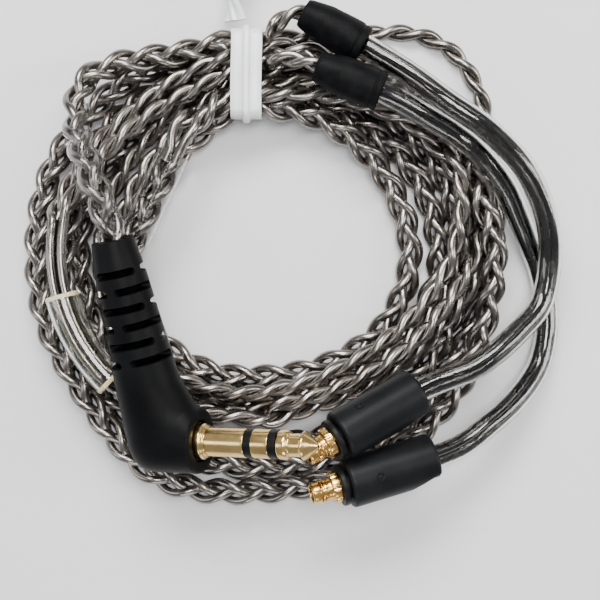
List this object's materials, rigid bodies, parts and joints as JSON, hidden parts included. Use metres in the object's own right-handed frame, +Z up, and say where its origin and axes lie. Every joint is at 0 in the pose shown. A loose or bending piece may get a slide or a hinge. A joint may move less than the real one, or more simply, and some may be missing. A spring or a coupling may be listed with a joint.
{
  "type": "in ear monitor cable",
  "caption": "Detachable in ear monitor cable, coiled and tied: braided lead with an angled stereo jack, Y-split, chin slider and clear ear hooks ending in snap-in coaxial plugs.",
  "frame": {"origin": "the middle of the outline on the surface the coil lies on", "axes": "+X towards the ear hooks and the tip of the jack, +Y towards the twist tie, +Z up away from the surface, with the plugs on top of the coil"},
  "size_m": [0.0674, 0.0704, 0.0191],
  "materials": {
    "braid": "clear insulation over stranded silver-grey wire",
    "paired_wire": "clear insulation over stranded silver-grey wire",
    "round_cable": "clear insulation over stranded silver-grey wire",
    "tie_plastic": "soft white film",
    "tie_steel": "bare wire",
    "boot_rubber": "satin moulded rubber",
    "mould_plastic": "matt",
    "gold_plate": "polished gold plate",
    "insulator_plastic": "gloss",
    "clear_shrink": "clear heat-shrunk sleeve",
    "clear_slider": "clear soft tube",
    "clear_tube": "clear soft tube",
    "sleeve_rubber": "satin moulded rubber",
    "dark_wire": "gloss",
    "housing_plastic": "satin moulded plastic"
  },
  "bodies": {
    "cable": {"coil_bundle": "braid", "branch_right": "paired_wire", "branch_left": "paired_wire", "slider_lead": "paired_wire", "plug_lead": "round_cable", "y_split_lead": "round_cable", "tie_ribbon": "tie_plastic", "tie_pigtail": "tie_plastic", "tie_wire": "tie_steel", "plug_boot": "boot_rubber", "plug_inner_mould": "mould_plastic", "plug_sleeve_contact": "gold_plate", "plug_ring_contact": "gold_plate", "plug_tip_contact": "gold_plate", "plug_centre_rod": "gold_plate", "contact_right": "gold_plate", "contact_left": "gold_plate", "pin_right": "gold_plate", "pin_left": "gold_plate", "plug_lower_insulator": "insulator_plastic", "plug_upper_insulator": "insulator_plastic", "insulator_right": "insulator_plastic", "insulator_left": "insulator_plastic", "plug_shrink": "clear_shrink", "y_split_sleeve": "clear_shrink", "ear_tube_right": "clear_tube", "ear_tube_left": "clear_tube", "ear_sleeve_right": "sleeve_rubber", "ear_sleeve_left": "sleeve_rubber", "ear_wire_right_a": "dark_wire", "ear_wire_right_b": "dark_wire", "ear_wire_left_a": "dark_wire", "ear_wire_left_b": "dark_wire", "housing_right": "housing_plastic", "housing_left": "housing_plastic", "collar_right": "housing_plastic", "collar_left": "housing_plastic"},
    "slider": {"chin_slider": "clear_slider"},
    "snap_right": {"snap_ring_right": "gold_plate"},
    "snap_left": {"snap_ring_left": "gold_plate"}
  },
  "joints": [
    {"name": "slider_run", "type": "hinge", "parent": "cable", "child": "slider", "pos_m": [-0.0066, -0.0038, 0.00825], "axis": [0, 0, 1], "range_deg": [-26, 1]},
    {"name": "snap_right_spin", "type": "hinge", "parent": "cable", "child": "snap_right", "pos_m": [0.0057, -0.026, 0.0131], "axis": [-0.8472, -0.4542, 0.2756], "continuous": true},
    {"name": "snap_left_spin", "type": "hinge", "parent": "cable", "child": "snap_left", "pos_m": [0.0067, -0.0318, 0.0112], "axis": [-0.9439, -0.2565, 0.2079], "continuous": true}
  ]
}
